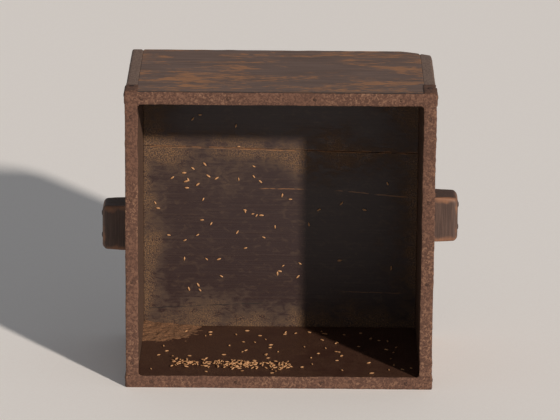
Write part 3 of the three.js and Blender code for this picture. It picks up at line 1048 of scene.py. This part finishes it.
@dataclass
class Nails:
    """The forged nails. Each head is a slightly crooked dome on a tapering shank."""

    dark: bpy.types.Material
    rubbed: bpy.types.Material
    sunk_lift: float = 0.15 * MM
    sunk_dome: float = 0.5 * MM
    proud_dome: float = 1.1 * MM
    around: int = 14
    crooked: float = 0.07
    head_rings: int = 4

    def build(self) -> int:
        """Build a nail for each nail solid.

        Returns:
            The number of nails.
        """
        names = [name for name in sorted(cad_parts) if "nail" in name]
        for name in names:
            self.nail(name)
        return len(names)

    def facing(self, name: str) -> Vector:
        """The way a nail's head looks.

        Args:
            name: The nail's node.

        Returns:
            A unit vector along an axis.
        """
        if name.startswith("rim_"):
            return Vector((0, -1, 0))
        if "over" in name:
            return Vector((0, 0, 1))
        if "under" in name:
            return Vector((0, 0, -1))
        low, high = solid_box(name)
        return Vector((1 if low.x + high.x > 0 else -1, 0, 0))

    def nail(self, name: str) -> None:
        """Build one nail in place of its solid.

        Args:
            name: The nail's node.
        """
        low, high = solid_box(name)
        out = self.facing(name)
        axis = max(range(3), key=lambda i: abs(out[i]))
        beside = (axis + 1) % 3
        length, radius = high[axis] - low[axis], (high[beside] - low[beside]) / 2
        in_rim = name.startswith("rim_")
        sunk = in_rim or any(word in name for word in ("under", "wall", "base"))
        dome = self.sunk_dome if sunk else self.proud_dome
        top = (low + high) / 2 + out * (length / 2 + (self.sunk_lift if sunk else 0.0))
        rings = [
            (0.45 * radius, -0.1 * dome),
            (0.8 * radius, -0.45 * dome),
            (radius, -dome),
            (0.92 * radius, -dome - 0.3 * MM),
            (1.3 * MM, -dome - 1.2 * MM),
            (0.5 * MM, -length + 1 * MM),
        ]
        draw = random.Random(f"{SEED}{name}")
        turn = out.to_track_quat("Z", "Y").to_matrix()
        points = [top]
        for ring, (size, depth) in enumerate(rings):
            for i in range(self.around):
                angle = 2 * math.pi * i / self.around
                crooked = draw.uniform(-self.crooked, self.crooked) if ring < self.head_rings else 0.0
                here = size * (1 + crooked)
                points.append(top + turn @ Vector((math.cos(angle) * here, math.sin(angle) * here, depth)))
        points.append(top + turn @ Vector((0, 0, -length)))
        last = len(points) - 1 - self.around
        faces = [[0, 1 + i, 1 + (i + 1) % self.around] for i in range(self.around)]
        faces += [face[::-1] for face in ring_faces(len(rings), self.around, 1)]
        faces += [[last + i, len(points) - 1, last + (i + 1) % self.around] for i in range(self.around)]
        piece = add_mesh(f"{name}_forged", points, faces, [self.rubbed if in_rim else self.dark])
        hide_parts(name)


# Husks and dust left in the hollow

@dataclass
class Leavings:
    """Pale husks that stick to the base or lie on the lower board, and a heap of bran dust in the corner."""

    husk: bpy.types.Material
    dust: bpy.types.Material
    husk_long: float = 5.4 * MM
    husk_wide: float = 2.3 * MM
    husk_thick: float = 1.7 * MM
    husk_around: int = 6
    husk_rings: tuple[tuple[float, float], ...] = (
        (-0.44, 0.35), (-0.26, 0.8), (0.0, 1.0), (0.26, 0.75), (0.43, 0.3))
    on_base: int = 56
    in_row: int = 180
    on_board: int = 75
    base_margin: float = 8 * MM
    base_top_margin: float = 60 * MM
    base_middle: Point = (-45 * MM, 0.0, 150 * MM)
    base_spread: float = 120 * MM
    row_left: float = -121 * MM
    row_right: float = 14 * MM
    row_from_mouth: float = 47 * MM
    row_slant: float = 9 * MM
    row_spread: float = 7.5 * MM
    heap_wide: float = 70 * MM
    heap_deep: float = 64 * MM
    heap_tall: float = 6.5 * MM
    heap_cells: int = 64
    draw: random.Random = field(default_factory=lambda: random.Random(SEED))

    def grain(self, spot: Vector, turn: Matrix) -> tuple[list[Vector], list[list[int]]]:
        """One husk, pointed at both ends.

        Args:
            spot: Its middle.
            turn: How it lies.

        Returns:
            Its points and its faces.
        """
        around = self.husk_around
        size = self.draw.uniform(0.75, 1.1)
        tip = Vector((0.5 * self.husk_long * size, 0, 0))
        points = [spot - turn @ tip]
        for place, share in self.husk_rings:
            for i in range(around):
                angle = 2 * math.pi * i / around
                side = math.cos(angle) * share * self.husk_wide * size / 2
                rise = math.sin(angle) * share * self.husk_thick * size / 2
                points.append(spot + turn @ Vector((place * self.husk_long * size, side, rise)))
        points.append(spot + turn @ tip)
        end = len(points) - 1
        last = end - around
        faces = [[0, 1 + (i + 1) % around, 1 + i] for i in range(around)]
        faces += ring_faces(len(self.husk_rings), around, 1)
        faces += [[last + i, last + (i + 1) % around, end] for i in range(around)]
        return points, faces

    def scatter(self, name: str, places: Sequence[Vector], up: Vector, spread: float) -> bpy.types.Object:
        """Lay a husk at each place and join them into one piece.

        Args:
            name: The piece's name.
            places: Where the husks lie.
            up: The way the surface under them looks.
            spread: How far a husk may turn out of the surface, in radians.

        Returns:
            The piece.
        """
        points: list[Vector] = []
        faces: list[list[int]] = []
        base = up.to_track_quat("Z", "Y").to_matrix()
        for place in places:
            lie = (0, self.draw.uniform(-spread, spread), self.draw.uniform(0, math.pi))
            heading = Matrix.Rotation(self.draw.uniform(0, math.pi), 3, "Z")
            turn = base @ heading @ Euler(lie, "ZYX").to_matrix()
            more, sides = self.grain(place + up * self.husk_thick * 0.42, turn)
            faces += [[number + len(points) for number in side] for side in sides]
            points += more
        piece = add_mesh(name, points, faces, [self.husk])
        return piece

    def heap(self) -> bpy.types.Object:
        """The heap of bran dust that has gathered in the left corner, against the base.

        Returns:
            The heap.
        """
        left, rear = solid_box("left_wall")[1].x, solid_box("base_wide")[0].y
        floor = solid_box("lower_wall")[1].z
        wide, deep, cells = self.heap_wide, self.heap_deep, self.heap_cells
        points, faces = [], []
        for i in range(cells + 1):
            for j in range(cells + 1):
                x, y = wide * i / cells, deep * j / cells
                ragged = noise.fractal(Vector((x, y, 0)) / (9 * MM), 0.7, 2.0, 4)
                reach = 1 - math.hypot(x / wide, y / deep) + 0.16 * ragged
                bound = min(1.0, (wide - x) / (8 * MM), (deep - y) / (8 * MM))
                lift = max(self.heap_tall * reach * bound + 0.5 * MM * ragged, 0.0) - 0.4 * MM
                points.append((left + x, rear - y, floor + lift))
        for i in range(cells):
            for j in range(cells):
                a = i * (cells + 1) + j
                faces.append([a + cells + 1, a + cells + 2, a + 1, a])
        piece = add_mesh("bran_dust_heap", points, faces, [self.dust])
        return piece

    def places_on_base(self) -> list[Vector]:
        """Places on the base, denser round its middle."""
        low, high = solid_box("base_wide")[0], solid_box("base_narrow")[1]
        middle = Vector((self.base_middle[0], low.y, self.base_middle[2]))
        left, right = low.x + self.base_margin, high.x - self.base_margin
        lower, upper = low.z + self.base_margin, high.z - self.base_top_margin
        found = []
        while len(found) < self.on_base:
            spot = Vector((self.draw.uniform(left, right), low.y, self.draw.uniform(lower, upper)))
            if self.draw.random() < math.exp(-((spot - middle).length / self.base_spread) ** 2):
                found.append(spot)
        return found

    def places_in_row(self, mouth: float, floor: float) -> list[Vector]:
        """Places in the slanting row of grains behind the rim, which bunch together.

        Args:
            mouth: Y of the mouth.
            floor: Height of the lower board's inner face.

        Returns:
            The places.
        """
        found = []
        while len(found) < self.in_row:
            share = self.draw.random()
            bunch = 0.35 + 0.65 * abs(math.sin(share * 7.5 + 0.6))
            if self.draw.random() < bunch:
                x = self.row_left + (self.row_right - self.row_left) * share
                y = mouth + self.row_from_mouth + self.draw.gauss(0, self.row_spread) - self.row_slant * share
                found.append(Vector((x, y, floor + self.draw.uniform(0, 1.2 * MM))))
        return found

    def build(self) -> list[bpy.types.Object]:
        """Build the husks and the heap.

        Returns:
            The pieces.
        """
        mouth, floor = solid_box("rim_lower")[0].y, solid_box("lower_wall")[1].z
        stuck = self.places_on_base()
        row = self.places_in_row(mouth, floor)
        loose = []
        for _ in range(self.on_board):
            x = self.draw.uniform(-145 * MM, 150 * MM)
            loose.append(Vector((x, mouth + self.draw.uniform(14 * MM, 165 * MM), floor)))
        up, forwards = Vector((0, 0, 1)), Vector((0, -1, 0))
        return [
            self.scatter("husks_on_base", stuck, forwards, 0.15),
            self.scatter("husks_in_row", row, up, 0.5),
            self.scatter("husks_on_lower_board", loose, up, 0.2),
            self.heap(),
        ]


# Floor, light and camera

@dataclass(frozen=True)
class Studio:
    """Plain pale floor, a low warm key light from the right, soft fill, and the photograph's viewpoint."""

    floor_reach: float = 9.0
    key_from_right: float = 36.3
    key_height: float = 21.5
    key_strength: float = 3.75
    key_spread: float = 2.6
    key_colour: str = "#fff6ec"
    fill: float = 0.24
    fill_colour: str = "#f4f6fa"
    backdrop: str = "#f1efed"
    camera_place: Point = (0.0112, -4.0641, 1.3869)
    turn: float = -0.161
    tilt: float = 16.541
    roll: float = 0.438
    focal_px: float = 3747.8
    width_px: float = 560.0
    sensor_mm: float = 36.0
    far_clip: float = 60.0

    def floor(self) -> None:
        """Lay the floor."""
        reach = self.floor_reach
        corners = [(-reach, -reach, 0), (reach, -reach, 0), (reach, reach, 0), (-reach, reach, 0)]
        mesh = bpy.data.meshes.new("floor")
        mesh.from_pydata(corners, [], [(0, 1, 2, 3)])
        ground = bpy.data.objects.new("floor", mesh)
        bpy.context.scene.collection.objects.link(ground)
        plaster = LooseMatter("painted_plaster_floor", "#fbf8f5", "#f9f5f2", 2.0, 0.02, 0.85)
        mesh.materials.append(plaster.material())

    def light(self) -> None:
        """Hang the key light and set the fill, with the backdrop that only the camera sees."""
        lamp = bpy.data.lights.new("low_key", "SUN")
        lamp.energy = self.key_strength
        lamp.angle = math.radians(self.key_spread)
        lamp.color = linear(self.key_colour)[:3]
        key = bpy.data.objects.new("low_key", lamp)
        side, height = math.radians(self.key_from_right), math.radians(self.key_height)
        level = Vector((-math.sin(side), math.cos(side), 0)) * math.cos(height)
        towards = level - Vector((0, 0, math.sin(height)))
        key.rotation_euler = towards.to_track_quat("-Z", "Y").to_euler()
        bpy.context.scene.collection.objects.link(key)
        world = bpy.data.worlds.new("studio")
        bpy.context.scene.world = world
        world.use_nodes = True
        world.node_tree.nodes.clear()
        graph = Graph(world.node_tree)
        seen = graph.add("Background", {"Color": linear(self.backdrop), "Strength": 1.0})
        soft = graph.add("Background", {"Color": linear(self.fill_colour), "Strength": self.fill})
        camera_ray = graph.add("LightPath", {}, "Is Camera Ray")
        graph.add("OutputWorld", {0: graph.add("MixShader", {0: camera_ray, 1: soft, 2: seen})})

    def camera(self) -> None:
        """Set the camera where the photograph was taken from."""
        data = bpy.data.cameras.new("viewpoint")
        data.sensor_width = self.sensor_mm
        data.lens = self.focal_px * self.sensor_mm / self.width_px
        data.clip_end = self.far_clip
        eye = bpy.data.objects.new("viewpoint", data)
        turn, tilt, roll = (math.radians(angle) for angle in (self.turn, self.tilt, self.roll))
        ahead = Vector((math.sin(turn), math.cos(turn), 0)) * math.cos(tilt) - Vector((0, 0, math.sin(tilt)))
        level = Vector((math.cos(turn), -math.sin(turn), 0))
        upright = level.cross(ahead)
        right = math.cos(roll) * level + math.sin(roll) * upright
        up = -math.sin(roll) * level + math.cos(roll) * upright
        facing = Matrix((right, up, -ahead)).transposed().to_4x4()
        eye.matrix_world = Matrix.Translation(self.camera_place) @ facing
        bpy.context.scene.collection.objects.link(eye)
        bpy.context.scene.camera = eye

    def build(self) -> None:
        """Set up the floor, the light and the camera."""
        self.floor()
        self.light()
        self.camera()
        bpy.context.scene.view_settings.view_transform = "Standard"


def main() -> None:
    """Build the measure and its surroundings."""
    logging.basicConfig(level=logging.INFO, format="%(name)s: %(message)s")
    Studio().build()
    pieces = Box().build() + Rim().build()
    pieces += [Handle("handle_left", -1, 1.0).build(), Handle("handle_right", 1, 2.0).build()]
    dark_iron = RustedIron("dark_forged_iron", "#43302a", "#5d4438", "#2c1e19", 0.3).material()
    rubbed_iron = RustedIron("rubbed_forged_iron", "#5a3e31", "#7a5a46", "#3e2a21", 0.3).material()
    log.info("built %d nails", Nails(dark_iron, rubbed_iron).build())
    husk = LooseMatter("dry_rice_husk", "#c8986c", "#a5764c", 2.0, 0.1, 0.6).material()
    dust = LooseMatter("bran_dust", "#80593c", "#60432c", 1.6, 0.3, 0.95).material()
    pieces += Leavings(husk, dust).build()
    for piece in pieces:
        log.info("built %s", piece.name)


if __name__ == "__main__":
    main()
